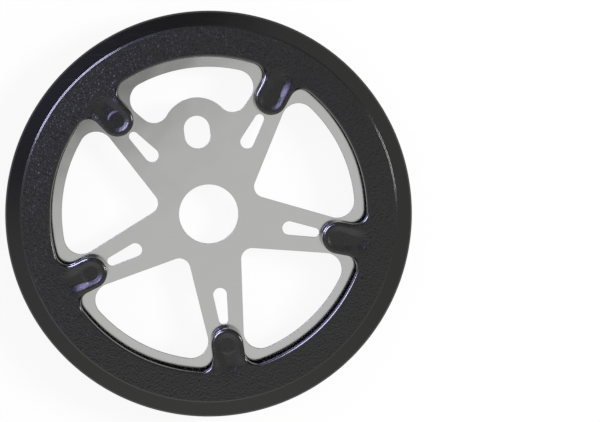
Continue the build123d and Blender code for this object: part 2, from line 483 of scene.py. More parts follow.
def add_mix(tree, place, share_of_second, first, second):
    """Mixes two colours by a value."""
    inputs = {"Factor": share_of_second, "A": (*first, 1), "B": (*second, 1)}
    return add_node(tree, "ShaderNodeMix", place, inputs, data_type="RGBA").outputs["Result"]


def add_bump(tree, place, height, distance, **normal):
    """A bump node that raises the surface by a height, over another Normal if one is given."""
    inputs = {"Height": height, "Distance": distance, **normal}
    return add_node(tree, "ShaderNodeBump", place, inputs).outputs["Normal"]


def add_attribute(tree, place, name):
    """A value that the mesh carries on its faces."""
    return add_node(tree, "ShaderNodeAttribute", place, attribute_name=name).outputs["Fac"]


def polar_copies_tree(name):
    """Geometry nodes that copy one sector round the crank axis and weld the copies."""
    tree = bpy.data.node_groups.new(name, "GeometryNodeTree")
    sockets = {
        "Geometry": "Geometry", "Count": "Int", "First Angle": "Float",
        "Weld Distance": "Float", "Material": "Material",
    }
    for label, kind in sockets.items():
        tree.interface.new_socket(label, in_out="INPUT", socket_type=f"NodeSocket{kind}")
    tree.interface.new_socket("Geometry", in_out="OUTPUT", socket_type="NodeSocketGeometry")
    given = add_node(tree, "NodeGroupInput", (-900, 0)).outputs
    step = add_math(tree, (-700, -150), "DIVIDE", 2 * math.pi, given["Count"])
    wrap = add_node(
        tree, "GeometryNodeGeometryToInstance", (-700, 100), {"Geometry": given["Geometry"]}
    )
    repeat = add_node(
        tree, "GeometryNodeDuplicateElements", (-500, 100),
        {"Geometry": wrap.outputs["Instances"], "Amount": given["Count"]}, domain="INSTANCE",
    )
    turn = add_math(
        tree, (-350, -150), "MULTIPLY_ADD",
        repeat.outputs["Duplicate Index"], step, given["First Angle"],
    )
    axis = add_node(tree, "ShaderNodeCombineXYZ", (-180, -150), {"Z": turn})
    rotate = add_node(
        tree, "GeometryNodeRotateInstances", (0, 100),
        {"Instances": repeat.outputs["Geometry"], "Rotation": axis.outputs["Vector"]},
    )
    realize = add_node(
        tree, "GeometryNodeRealizeInstances", (200, 100), {"Geometry": rotate.outputs["Instances"]}
    )
    weld = add_node(
        tree, "GeometryNodeMergeByDistance", (400, 100),
        {"Geometry": realize.outputs["Geometry"], "Distance": given["Weld Distance"]},
    )
    dressed = add_node(
        tree, "GeometryNodeSetMaterial", (600, 100),
        {"Geometry": weld.outputs["Geometry"], "Material": given["Material"]},
    )
    add_node(tree, "NodeGroupOutput", (800, 100), {"Geometry": dressed.outputs["Geometry"]})
    return tree


def new_shader_group(name, inputs, outputs):
    """An empty shader group that takes a vector and named values, and its input sockets."""
    tree = bpy.data.node_groups.new(name, "ShaderNodeTree")
    tree.interface.new_socket("Vector", in_out="INPUT", socket_type="NodeSocketVector")
    for label, value in inputs.items():
        socket = tree.interface.new_socket(label, in_out="INPUT", socket_type="NodeSocketFloat")
        socket.default_value = value
    for label in outputs:
        tree.interface.new_socket(label, in_out="OUTPUT", socket_type="NodeSocketFloat")
    return tree, add_node(tree, "NodeGroupInput", (-800, 0)).outputs


def swells_group(name):
    """Slow swells that polishing and moulding leave in a flat surface."""
    tree, given = new_shader_group(name, {"Density": 60.0, "Height": 1.0}, ["Height"])
    noise = add_noise(tree, (-500, 0), given["Vector"], given["Density"], 1.0)
    scaled = add_math(tree, (-200, 0), "MULTIPLY", noise, given["Height"])
    add_node(tree, "NodeGroupOutput", (600, 0), {"Height": scaled})
    return tree


def marks_group(name):
    """Faint hairline scratches and a trace of dust from handling."""
    names = ["Scratches", "Dust"]
    tree, given = new_shader_group(name, {"Scratches": 0.5, "Dust": 0.3}, names)
    hairs = []
    for row, lean in ((300, 25), (0, 110)):
        stretched = add_node(
            tree, "ShaderNodeMapping", (-600, row),
            {
                "Vector": given["Vector"],
                "Rotation": (0, 0, math.radians(lean)),
                "Scale": (40, 1600, 400),
            },
        )
        lines = add_noise(tree, (-400, row), stretched.outputs["Vector"], 1.0, 2.0)
        hairs.append(add_range(tree, (-200, row), lines, (0.66, 0.78), (0, 1)))
    either = add_math(tree, (0, 200), "MAXIMUM", *hairs)
    specks = add_noise(tree, (-400, -400), given["Vector"], 1500.0, 2.0)
    few = add_range(tree, (-200, -400), specks, (0.70, 0.80), (0, 1))
    scratches = add_math(tree, (200, 200), "MULTIPLY", either, given["Scratches"])
    dust = add_math(tree, (200, -400), "MULTIPLY", few, given["Dust"])
    add_node(tree, "NodeGroupOutput", (600, 0), {"Scratches": scratches, "Dust": dust})
    return tree


def grain_group(name):
    """Fine pebbled grain of a textured mould."""
    tree, given = new_shader_group(name, {"Density": 1800.0, "Amount": 1.0}, ["Height"])
    vector, density = given["Vector"], given["Density"]
    cells = add_node(
        tree, "ShaderNodeTexVoronoi", (-500, 150),
        {"Vector": vector, "Scale": density, "Smoothness": 0.25}, feature="SMOOTH_F1",
    )
    soft = add_noise(tree, (-500, -200), vector, density, 0.0)
    both = add_math(tree, (-200, 0), "ADD", cells.outputs["Distance"], soft)
    scaled = add_math(tree, (100, 0), "MULTIPLY", both, given["Amount"])
    add_node(tree, "NodeGroupOutput", (600, 0), {"Height": scaled})
    return tree


GROUP_MAKERS = {
    "Polar copies": polar_copies_tree,
    "Slow swells": swells_group,
    "Handling marks": marks_group,
    "Mould grain": grain_group,
}


def shared_group(name):
    """A node group, made when it is first asked for."""
    return bpy.data.node_groups.get(name) or GROUP_MAKERS[name](name)


def add_group(tree, name, place, inputs):
    """Places a shared shader group in a material with its own values, and gives its outputs."""
    group = shared_group(name)
    return add_node(tree, "ShaderNodeGroup", place, inputs, node_tree=group).outputs


def copy_round(piece, count, first_angle, material):
    """Copies a sector piece round the crank axis and leaves a plain mesh."""
    tree = shared_group("Polar copies")
    modifier = piece.modifiers.new("Polar copies", "NODES")
    modifier.node_group = tree
    values = {
        "Count": count, "First Angle": first_angle, "Weld Distance": WELD, "Material": material,
    }
    for item in tree.interface.items_tree:
        if item.in_out == "INPUT" and item.name in values:
            modifier[item.identifier] = values[item.name]
    plain_mesh(piece)


def new_material(name):
    """A material with its tree and its Principled shader."""
    material = bpy.data.materials.new(name)
    material.use_nodes = True
    tree = material.node_tree
    shader = tree.nodes["Principled BSDF"]
    shader.location = (600, 0)
    tree.nodes["Material Output"].location = (900, 0)
    return material, tree, shader


def object_coords(tree):
    """The piece's own coordinates."""
    return add_node(tree, "ShaderNodeTexCoord", (-1000, 0)).outputs["Object"]


def chrome_material(name, colours):
    """Bright plating over polished sheet steel, dull on the stamped edges."""
    material, tree, shader = new_material(name)
    coords = object_coords(tree)
    base, low = tuple(colours.chrome), colours.chrome_roughness
    dull = tuple(0.3 * c for c in base)
    swells = add_group(tree, "Slow swells", (-600, -300), {"Vector": coords, "Density": 70.0})
    marks = add_group(
        tree, "Handling marks", (-600, 200), {"Vector": coords, "Scratches": 0.6, "Dust": 0.4}
    )
    stamped = add_attribute(tree, (-1000, -300), "stamped")
    worn = add_math(tree, (0, 300), "MULTIPLY", marks["Scratches"], 0.1)
    darker = add_math(tree, (0, 200), "MAXIMUM", stamped, worn)
    clean = add_range(tree, (-200, 0), swells["Height"], (0, 1), (0.7 * low, 1.5 * low))
    dusty = add_math(tree, (0, 0), "MULTIPLY", marks["Dust"], 0.25)
    unclean = add_math(tree, (200, 0), "ADD", clean, dusty)
    rough_edge = add_math(tree, (0, -100), "MULTIPLY", stamped, 0.5)
    feed(tree, shader, {
        "Metallic": 1.0,
        "Base Color": add_mix(tree, (200, 300), darker, base, dull),
        "Roughness": add_math(tree, (400, 0), "ADD", unclean, rough_edge),
        "Normal": add_bump(tree, (200, -300), swells["Height"], 0.05 * MM),
    })
    return material


def plastic_material(name, colours):
    """Black moulding: grained faces, a smoother band and noses, and a glossy inside."""
    material, tree, shader = new_material(name)
    coords = object_coords(tree)
    base = tuple(colours.plastic)
    dusty = tuple(min(1.0, 6 * c) for c in base)
    grained = add_attribute(tree, (-1000, -300), "grain")
    rough = add_attribute(tree, (-1000, -500), "roughness")
    marks = add_group(
        tree, "Handling marks", (-600, 300), {"Vector": coords, "Scratches": 0.5, "Dust": 0.8}
    )
    grain = add_group(
        tree, "Mould grain", (-600, -200), {"Vector": coords, "Density": 1200.0, "Amount": grained}
    )
    swells = add_group(tree, "Slow swells", (-600, -500), {"Vector": coords, "Density": 90.0})
    scuffs = add_math(tree, (0, -150), "MULTIPLY", marks["Scratches"], 0.12)
    flow = add_bump(tree, (200, -500), swells["Height"], 0.03 * MM)
    feed(tree, shader, {
        "IOR": 1.5,
        "Base Color": add_mix(tree, (200, 300), marks["Dust"], base, dusty),
        "Roughness": add_math(tree, (200, -150), "ADD", rough, scuffs),
        "Normal": add_bump(tree, (400, -300), grain["Height"], 0.09 * MM, Normal=flow),
    })
    return material


def zinc_material(name, colours):
    """Bright zinc on a turned screw head."""
    material, tree, shader = new_material(name)
    coords = object_coords(tree)
    base, low = tuple(colours.zinc), colours.zinc_roughness
    warm = (base[0], 0.94 * base[1], 0.80 * base[2])
    marks = add_group(
        tree, "Handling marks", (-600, 200), {"Vector": coords, "Scratches": 0.8, "Dust": 0.5}
    )
    swells = add_group(tree, "Slow swells", (-600, -200), {"Vector": coords, "Density": 900.0})
    cloudy = add_range(tree, (-200, 0), swells["Height"], (0, 1), (0.7 * low, 1.3 * low))
    scuffed = add_math(tree, (0, 0), "MULTIPLY", marks["Scratches"], 0.2)
    feed(tree, shader, {
        "Metallic": 1.0,
        "Base Color": add_mix(tree, (200, 300), swells["Height"], base, warm),
        "Roughness": add_math(tree, (200, 0), "ADD", cloudy, scuffed),
        "Normal": add_bump(tree, (200, -300), swells["Height"], 0.02 * MM),
    })
    return material


FINISH_MAKERS = {
    "Bright chrome plate": chrome_material,
    "Black guard moulding": plastic_material,
    "Bright zinc": zinc_material,
}


def shared_finish(name, colours):
    """A finish, made when it is first asked for and shared by the pieces that have it."""
    return bpy.data.materials.get(name) or FINISH_MAKERS[name](name, colours)


def wheel_radii(wheel, guard):
    """The main circles of the chainwheel and the guard, worked out from the chain."""
    pitch = wheel.chain_pitch / (2 * math.sin(math.pi / wheel.tooth_count))
    tip = pitch + wheel.tooth_height
    window = pitch - wheel.seat_radius - wheel.rim_width
    return {
        "pitch": pitch,
        "tip": tip,
        "window": window,
        "boss": window - guard.boss_setback,
        "guard_inner": window + guard.setback,
        "guard_outer": tip + guard.overhang,
    }


def straight_corner(before, corner, after, radius):
    """An arc that rounds a straight corner of the metal."""
    back, ahead = (before - corner).normalized(), (after - corner).normalized()
    half = back.angle(ahead) / 2
    centre = corner + (back + ahead).normalized() * radius / math.sin(half)
    start = corner + back * radius / math.tan(half) - centre
    end = corner + ahead * radius / math.tan(half) - centre
    first = math.atan2(start.y, start.x)
    sweep = (math.atan2(end.y, end.x) - first + math.pi) % (2 * math.pi) - math.pi
    return arc(centre, radius, first, first + sweep, -1)


def leave_circle(start, along, radius):
    """The point where a ray leaves a circle about the origin."""
    reach = start.dot(along)
    return start + along * (math.sqrt(reach**2 - start.length_squared + radius**2) - reach)


def tooth_run(wheel, radii):
    """Outlines of a tooth gap on +X, from crease to crease, and of the tip that follows it."""
    lean = wheel.flank_angle
    tip = radii["tip"]
    middle = Vector((radii["pitch"], 0))
    foot = middle + polar(wheel.seat_radius, math.pi / 2 + lean)
    along = polar(1, lean)
    crease = (leave_circle(foot, along, tip - wheel.bevel_reach), Vector((-along.y, along.x)))
    corner = leave_circle(foot, along, tip)
    across = Vector((-corner.y, corner.x)).normalized()
    tip_corner = straight_corner(foot, corner, corner + across, wheel.tip_round)
    seat = arc(middle, wheel.seat_radius, -math.pi / 2 - lean, -1.5 * math.pi + lean)
    step = 2 * math.pi / wheel.tooth_count
    first = math.atan2(tip_corner[-1][0].y, tip_corner[-1][0].x)
    tip_arc = arc(ORIGIN, tip, first, step - first, -1)[1:-1]
    gap = [*mirrored([crease]), *seat, crease]
    return gap, [*tip_corner, *tip_arc, *turned(mirrored(tip_corner), step)]


def window_outline(wheel, guard, radii, over_pin):
    """Closed outline of a window on +X: plain, or filled by the lobe round the drive-pin slot."""
    side_lean = math.pi / guard.finger_count + wheel.arm_taper
    tip_centre = wheel.window_tip + wheel.window_tip_round
    apex = Vector((tip_centre - wheel.window_tip_round / math.sin(side_lean), 0))
    along = polar(1, side_lean)
    inward = Vector((along.y, -along.x))
    normal_turn = math.pi / 2 + side_lean

    def corner_centre(radius, hub, gap):
        """Centre of a round between the window's side and a circle about a hub."""
        return hub + leave_circle(apex + radius * inward - hub, along, gap)

    edge, corner_round = radii["window"], wheel.window_corner_round
    centre = corner_centre(corner_round, ORIGIN, edge - corner_round)
    lean = math.atan2(centre.y, centre.x)
    upper = arc(centre, corner_round, lean, normal_turn)
    if over_pin:
        lobe = Vector((wheel.pin_radius, 0))
        valley_round = wheel.valley_round
        valley = corner_centre(valley_round, lobe, wheel.lobe_radius + valley_round)
        to_valley = math.atan2(valley.y - lobe.y, valley.x - lobe.x)
        upper += arc(valley, valley_round, normal_turn, to_valley + math.pi)
        inner = arc(lobe, wheel.lobe_radius, to_valley, -to_valley, -1)[1:-1]
    else:
        tip_round = wheel.window_tip_round
        inner = arc(Vector((tip_centre, 0)), tip_round, normal_turn, 2 * math.pi - normal_turn)
    outer = arc(ORIGIN, edge, -lean, lean)[1:-1]
    return [*outer, *upper, *inner, *mirrored(upper)]


def tapered_slot(inner_x, inner_radius, outer_x, outer_radius):
    """Closed outline of a slot on +X with two round ends."""
    open_angle = math.acos((inner_radius - outer_radius) / (outer_x - inner_x))
    outer = arc(Vector((outer_x, 0)), outer_radius, -open_angle, open_angle)
    inner = arc(Vector((inner_x, 0)), inner_radius, open_angle, 2 * math.pi - open_angle)
    return outer + inner


def wheel_holes(wheel, guard, radii):
    """Outlines of all the openings in the chainwheel."""
    step = 2 * math.pi / guard.finger_count
    pin_turn = guard.first_angle + step / 2
    slot_in, slot_out = wheel.slot_inner_width / 2, wheel.slot_outer_width / 2
    slot_end = radii["boss"] - guard.boss_radius - wheel.slot_setback
    arm_slot = tapered_slot(
        wheel.slot_inner_end + slot_in, slot_in, slot_end - slot_out, slot_out
    )
    pin_half, pin_end = (wheel.pin_length - wheel.pin_width) / 2, wheel.pin_width / 2
    pin_slot = tapered_slot(
        wheel.pin_radius - pin_half, pin_end, wheel.pin_radius + pin_half, pin_end
    )
    holes = [circle(ORIGIN, wheel.bore_diameter / 2), turned(pin_slot, pin_turn)]
    for i in range(guard.finger_count):
        arm_turn = guard.first_angle + i * step
        holes.append(turned(window_outline(wheel, guard, radii, i == 0), pin_turn + i * step))
        holes.append(turned(arm_slot, arm_turn))
        holes.append(circle(polar(radii["boss"], arm_turn), wheel.hole_diameter / 2))
    return holes


def build_chainwheel(wheel, guard):
    """Mesh of the chainwheel: two faces, and rounded walls along every outline."""
    radii = wheel_radii(wheel, guard)
    front, back = wheel_high.z, wheel_low.z
    edge = quarter_round(wheel.edge_round, 4)
    crease_radius = radii["tip"] - wheel.bevel_reach
    columns = [(inset, front - drop, -1) for inset, drop in edge]
    columns += [(inset, back + drop, 1) for inset, drop in reversed(edge)]

    def thinning(point):
        return wheel.bevel_depth * max(0.0, (point.length - crease_radius) / wheel.bevel_reach)

    def wall_rows(outline):
        return [
            [(*(p + inset * n), height + lift * thinning(p)) for p, n in outline]
            for inset, height, lift in columns
        ]

    bm = bmesh.new()
    stamped = bm.faces.layers.float.new("stamped")
    gap, tip = tooth_run(wheel, radii)
    step = 2 * math.pi / wheel.tooth_count
    face_outline, teeth = [], []
    for i in range(wheel.tooth_count):
        turn = guard.first_angle + (i + 0.5) * step
        this_gap, this_tip = turned(gap, turn), turned(tip, turn)
        face_outline += this_gap
        teeth += this_gap + this_tip
        next_gap = turned(gap, turn + step)
        tip_rows = wall_rows([this_gap[-1], *this_tip, next_gap[0]])
        for row in (tip_rows[0], tip_rows[-1]):
            bm.faces.new([bm.verts.new(p) for p in row])
    holes = wheel_holes(wheel, guard, radii)
    for outline in [teeth, *holes]:
        for face in add_rows(bm, wall_rows(outline), closed=True):
            face[stamped] = 1.0
    loops = [[p + wheel.edge_round * n for p, n in loop] for loop in [face_outline, *holes]]
    for height in (front, back):
        add_flat(bm, loops, height)
    return bm


def finger_outline(guard, radii):
    """Inner edge of a ring over half a sector about +X: the ring, the finger's side, the nose."""
    inner, boss, radius = radii["guard_inner"], radii["boss"], guard.boss_radius
    fillet = guard.root_fillet
    root_y = radius + fillet
    root = Vector((math.sqrt((inner - fillet) ** 2 - root_y**2), root_y))
    lean = math.atan2(root.y, root.x)
    ring = arc(ORIGIN, inner, math.pi / guard.finger_count, lean)[:-1]
    side = arc(root, fillet, lean, -math.pi / 2)
    for i in range(1, SIDE_STEPS):
        x = root.x + (boss - root.x) * i / SIDE_STEPS
        side.append((Vector((x, radius)), Vector((0, -1))))
    nose = arc(Vector((boss, 0)), radius, math.pi / 2, 1.5 * math.pi, -1)
    return ring, side, nose


def ring_section(guard, radii):
    """Radius and drop below the face along a ring's outside, and along the back of its rim."""
    outer = radii["guard_outer"]
    start = outer - guard.band_width - CREST_INSIDE * guard.crest_bevel
    slope = [i / CREST_STEPS for i in range(CREST_STEPS + 1)]
    outside = [(start + guard.crest_bevel * t, guard.crest_step * ease(t)) for t in slope]
    band_fall = guard.rim_drop * (guard.band_width - guard.rim_bevel) / guard.band_width
    shoulder = guard.crest_step + band_fall
    outside += [(outer - guard.rim_bevel, shoulder), (outer, shoulder + guard.rim_bevel)]
    back_round = reversed(quarter_round(guard.rim_round, 6))
    return outside, [(outer - inset, guard.thickness - drop) for inset, drop in back_round]


def nose_relief(guard, along, across):
    """Height of a finger's nose above the ring's face.

    A rim, open towards the ring, runs round a hollow with a low button in it.
    """
    reach, crown = guard.hollow_reach, guard.crown_radius
    across = abs(across)
    from_axis = math.hypot(along, across)
    off_middle = across if along > 0 else from_axis
    if off_middle > guard.boss_radius or along > reach:
        return 0.0
    outward = along / max(from_axis, WELD)
    crest = guard.crown_height * (1 - ease(along / reach, *CROWN_FADE))
    if along < guard.trough_middle:
        fall = guard.trough_depth - guard.button_height - guard.hollow_depth
        floor = -guard.hollow_depth - fall * ramp(along, TROUGH_START, guard.trough_middle)
        edge = BUTTON_LOW + (1 - BUTTON_LOW) * ease(outward, *BUTTON_FADE)
        off_button = from_axis - guard.button_radius
        floor -= guard.button_height * edge * ramp(off_button / BUTTON_SLOPE + 0.5)
    else:
        floor = -guard.trough_depth * (1 - ease(along, guard.trough_middle, reach))
    if off_middle >= crown:
        return crest * (1 - ((off_middle - crown) / (guard.boss_radius - crown)) ** 2)
    narrowing = FLOOR_TAPER * along / reach if along > 0 else FLOOR_SPREAD * outward
    foot = guard.hollow_foot * (1 - narrowing)
    return floor + (crest - floor) * ramp(off_middle, foot, crown)


def nose_grain(guard, along, across):
    """How grained a finger's face is: smooth in the hollow, grained on its rim and beyond it."""
    off_middle = abs(across) if along > 0 else MARGIN_AT_TIP * math.hypot(along, across)
    margin = ease(off_middle / guard.crown_radius, *MARGIN_FADE)
    return max(margin, ease(along / guard.hollow_reach, *SMOOTH_FADE))


def add_nose(bm, layers, guard, finishes, boss, edge, first, face):
    """Adds the dense patch that the nose's relief is pressed into.

    The patch starts at the edge's point first. What is left of the edge is given back.
    """
    last = len(edge) - 1 - first
    corner = edge[first] - boss
    tip = guard.hollow_reach + PATCH_MARGIN
    turns = [math.pi * (i / BOW_STEPS - 0.5) for i in range(1, BOW_STEPS)]
    bow = [
        boss + Vector((corner.x + (tip - corner.x) * math.cos(t), corner.y * math.sin(t)))
        for t in turns
    ]
    patch = edge[first : last + 1] + bow
    scales = [1 - i / NOSE_RINGS for i in range(NOSE_RINGS)]
    rows = [[(*boss.lerp(p, k), face) for p in patch] for k in scales]
    for one in add_rows(bm, rows, closed=True) + add_disc(bm, rows[-1], (*boss, face)):
        middle = one.calc_center_median()
        grain = nose_grain(guard, middle.x - boss.x, middle.y)
        rough = finishes.nose_roughness
        rough += grain * (finishes.face_roughness - finishes.nose_roughness)
        set_zone(layers, [one], HOLLOW_GRAIN + (1 - HOLLOW_GRAIN) * grain, rough)
    return edge[: first + 1] + bow[::-1] + edge[last:]


def add_post(bm, layers, guard, outline, hole, back, roughness):
    """Adds a post from the back of a ring down to the chainwheel, with a hole in its end."""
    rows = [[(*p, back) for p, n in outline]]
    for inset, drop in reversed(quarter_round(guard.post_round, 3)):
        rows.append([(*(p + inset * n), drop) for p, n in outline])
    set_zone(layers, add_rows(bm, rows, closed=True), 0.0, roughness)
    end = [Vector(p[:2]) for p in rows[-1]]
    set_zone(layers, add_flat(bm, [end, hole], 0.0), 0.0, roughness)


def guard_sector(guard, wheel, finishes, is_front):
    """Mesh of one finger's sector of a guard ring that faces +Z, with the chainwheel at zero."""
    radii = wheel_radii(wheel, guard)
    half_sector = math.pi / guard.finger_count
    face = front_high.z - guard.crown_height
    back = face - guard.thickness
    boss = Vector((radii["boss"], 0))
    smooth, inside = finishes.band_roughness, finishes.inside_roughness
    bm = bmesh.new()
    layers = (bm.faces.layers.float.new("grain"), bm.faces.layers.float.new("roughness"))

    ring_edge, side_edge, nose = finger_outline(guard, radii)
    shoulder = ring_edge + side_edge
    outline = shoulder + nose + mirrored(shoulder)
    rounding = quarter_round(guard.edge_round, 6)
    rows = [[(*(p + inset * n), face - drop) for p, n in outline] for inset, drop in rounding]
    set_zone(layers, add_rows(bm, rows, closed=False), EDGE_GRAIN, smooth)
    wall = [rows[-1], [(*p, back) for p, n in outline]]
    set_zone(layers, add_rows(bm, wall, closed=False), 0.0, smooth)

    steps = round(2 * half_sector / RING_STEP)
    turns = [-half_sector + 2 * half_sector * i / steps for i in range(steps + 1)]
    outside, behind = ring_section(guard, radii)
    for section, roughness in ((outside + behind[:1], smooth), (behind, inside)):
        rows = [[(*polar(r, t), face - drop) for t in turns] for r, drop in section]
        set_zone(layers, add_rows(bm, rows, closed=False), 0.0, roughness)

    inset_row = [p + guard.edge_round * n for p, n in outline]
    crest_row = [polar(outside[0][0], t) for t in turns]
    if is_front:
        hole_radius = guard.pilot_diameter / 2
        pilot = [(hole_radius, 0.0), (hole_radius, guard.pilot_depth)]
        faces, rows = add_turned(bm, pilot, boss, HOLE_SIDES)
        hole = [Vector(p[:2]) for p in rows[0]]
        faces += add_disc(bm, rows[-1], (*boss, guard.pilot_depth))
        crown_end = boss.x + CROWN_FADE[1] * guard.hollow_reach
        first = next(i for i, (p, n) in enumerate(side_edge) if p.x < crown_end)
        first += len(ring_edge)
        edge = add_nose(bm, layers, guard, finishes, boss, inset_row, first, face)
        face_loops = [edge + crest_row]
    else:
        hole_radius = guard.hole_diameter / 2
        mouth = guard.counterbore_diameter / 2
        seat = face - guard.counterbore_depth
        mouth_round = quarter_round(guard.counterbore_round, 3)
        bore = [(mouth + inset, face - drop) for inset, drop in mouth_round]
        bore += [(mouth, seat), (hole_radius, seat), (hole_radius, 0.0)]
        faces, rows = add_turned(bm, bore, boss, HOLE_SIDES)
        hole = [Vector(p[:2]) for p in rows[-1]]
        face_loops = [inset_row + crest_row, [Vector(p[:2]) for p in rows[0]]]
    set_zone(layers, faces, 0.0, smooth)
    set_zone(layers, add_flat(bm, face_loops, face), 1.0, finishes.face_roughness)

    far_side = arc(boss, guard.boss_radius, math.pi / 2, -math.pi / 2, -1)
    back_loop = [p for p, n in shoulder + far_side + mirrored(shoulder)]
    back_loop += [polar(behind[-1][0], t) for t in turns]
    set_zone(layers, add_flat(bm, [back_loop], back), 0.0, inside)
    add_post(bm, layers, guard, nose + far_side[-2:0:-1], hole, back, inside)
    bmesh.ops.remove_doubles(bm, verts=bm.verts, dist=WELD)
    if is_front:
        for vert in bm.verts:
            if vert.co.z > face - guard.edge_round - WELD:
                vert.co.z += nose_relief(guard, vert.co.x - boss.x, vert.co.y)
    return bm


def thread_rows(screw, axis, seat):
    """Rows of points up a screw's shank, with a rolled thread that fades out at both ends."""
    length = screw_high.z - seat
    pitch = screw.thread_pitch
    row_count = round(length / pitch * THREAD_ROWS)
    rows = []
    for i in range(row_count + 1):
        height = length * i / row_count
        fade = ease(height / pitch) * ease((length - height) / (0.5 * pitch))
        row = []
        for j in range(SCREW_SIDES):
            phase = (height / pitch - j / SCREW_SIDES) % 1.0
            ridge = max(0.0, 1 - abs(phase - 0.5) / RIDGE_SHARE)
            radius = screw.thread_diameter / 2 - screw.thread_depth * (1 - ridge * fade)
            row.append((*(axis + polar(radius, 2 * math.pi * j / SCREW_SIDES)), seat + height))
        rows.append(row)
    return rows


def build_screw(screw, radii):
    """Mesh of one screw on +X, its head at the rear, with a cross recess and a rolled thread."""
    axis = Vector((radii["boss"], 0))
    end = screw_low.z
    seat = end + screw.head_height
    head = screw.head_diameter / 2
    bm = bmesh.new()
    profile = [(head - inset, end + drop) for inset, drop in quarter_round(screw.head_round, 8)]
    profile += [(head, seat), (screw.thread_diameter / 2 - screw.thread_depth, seat)]
    faces, rows = add_turned(bm, profile, axis, SCREW_SIDES)
    rim = [Vector(p[:2]) for p in rows[0]]

    half, bar = screw.recess_width / 2, screw.recess_bar / 2
    corners = (
        (half, -bar), (half, bar), (bar, bar), (bar, half), (-bar, half), (-bar, bar),
        (-half, bar), (-half, -bar), (-bar, -bar), (-bar, -half), (bar, -half), (bar, -bar),
    )
    cross = [axis + Vector(corner) for corner in corners]
    add_flat(bm, [rim, cross], end)
    recess = [[(*p, z) for p in cross] for z in (end, end + screw.recess_depth)]
    add_rows(bm, recess, closed=True)
    bm.faces.new([bm.verts.new(p) for p in recess[1]])

    rows = thread_rows(screw, axis, seat)
    add_rows(bm, rows, closed=True)
    add_disc(bm, rows[-1], (*axis, screw_high.z))
    bmesh.ops.remove_doubles(bm, verts=bm.verts, dist=WELD)
    return bm


class CHAINWHEEL_OT_wheel(bpy.types.Operator):
    """Make the chromed chainwheel in place of its plain solid"""

    bl_idname = "chainwheel.wheel"
    bl_label = "Make Chainwheel"

    def execute(self, context):
        scene = context.scene
        mesh = build_chainwheel(scene.wheel_sizes, scene.guard_sizes)
        piece = new_piece("chromed_chainwheel", mesh)
        piece.data.materials.append(shared_finish("Bright chrome plate", scene.finish_colours))
        close_up(piece, keep_flat=True)
        stand_for(piece, "chainwheel")
        return {"FINISHED"}


class CHAINWHEEL_OT_guards(bpy.types.Operator):
    """Make the front and rear guard rings in place of their plain solids"""

    bl_idname = "chainwheel.guards"
    bl_label = "Make Guard Rings"

    def execute(self, context):
        scene = context.scene
        guard, wheel = scene.guard_sizes, scene.wheel_sizes
        material = shared_finish("Black guard moulding", scene.finish_colours)
        for name, node, is_front in (
            ("front_guard", "front_guard_ring", True),
            ("rear_guard", "rear_guard_ring", False),
        ):
            piece = new_piece(name, guard_sector(guard, wheel, scene.finish_colours, is_front))
            copy_round(piece, guard.finger_count, guard.first_angle, material)
            if not is_front:
                for vertex in piece.data.vertices:
                    vertex.co.z = wheel_low.z - vertex.co.z
            close_up(piece)
            stand_for(piece, node)
        return {"FINISHED"}


class CHAINWHEEL_OT_screws(bpy.types.Operator):
    """Make the guard screws in place of their plain solids"""

    bl_idname = "chainwheel.screws"
    bl_label = "Make Guard Screws"

    def execute(self, context):
        scene = context.scene
        guard = scene.guard_sizes
        radii = wheel_radii(scene.wheel_sizes, guard)
        piece = new_piece("zinc_screws", build_screw(scene.screw_sizes, radii))
        material = shared_finish("Bright zinc", scene.finish_colours)
        copy_round(piece, guard.finger_count, guard.first_angle, material)
        close_up(piece)
        stand_for(piece, "guard_screws")
        return {"FINISHED"}


def add_background(tree, place, colour, strength):
    """A plain background shader."""
    inputs = {"Color": (*colour, 1), "Strength": strength}
    return add_node(tree, "ShaderNodeBackground", place, inputs).outputs["Background"]


def add_shader_mix(tree, place, amount, first, second):
    """Mixes two shaders by a value."""
    inputs = {"Fac": amount, 1: first, 2: second}
    return add_node(tree, "ShaderNodeMixShader", place, inputs).outputs["Shader"]


def add_distance(tree, place, coords, direction):
    """How far a ray's direction lies from another one."""
    node = add_node(
        tree, "ShaderNodeVectorMath", place, {0: coords, 1: direction}, operation="DISTANCE"
    )
    return node.outputs["Value"]


def floor_material(stage):
    """White floor that still takes a light shadow, and is clear from below."""
    material, tree, shader = new_material("White floor")
    feed(tree, shader, {"Base Color": (0.9, 0.9, 0.9, 1), "Roughness": 0.9})
    path = add_node(tree, "ShaderNodeLightPath", (-400, 300)).outputs
    seen = add_math(tree, (-200, 300), "MAXIMUM", path["Is Camera Ray"], path["Is Glossy Ray"])
    seen = add_math(tree, (0, 300), "MAXIMUM", seen, path["Is Transmission Ray"])
    amount = add_math(tree, (200, 300), "MULTIPLY", seen, stage.floor_white)
    white = add_node(tree, "ShaderNodeEmission", (600, -700), {"Strength": 1.0})
    clear = add_node(tree, "ShaderNodeBsdfTransparent", (900, -200))
    below = add_node(tree, "ShaderNodeNewGeometry", (900, 300)).outputs["Backfacing"]
    above = add_shader_mix(
        tree, (900, 0), amount, shader.outputs["BSDF"], white.outputs["Emission"]
    )
    one_sided = add_shader_mix(tree, (1100, 0), below, above, clear.outputs["BSDF"])
    output = tree.nodes["Material Output"]
    output.location = (1300, 0)
    feed(tree, output, {"Surface": one_sided})
    return material


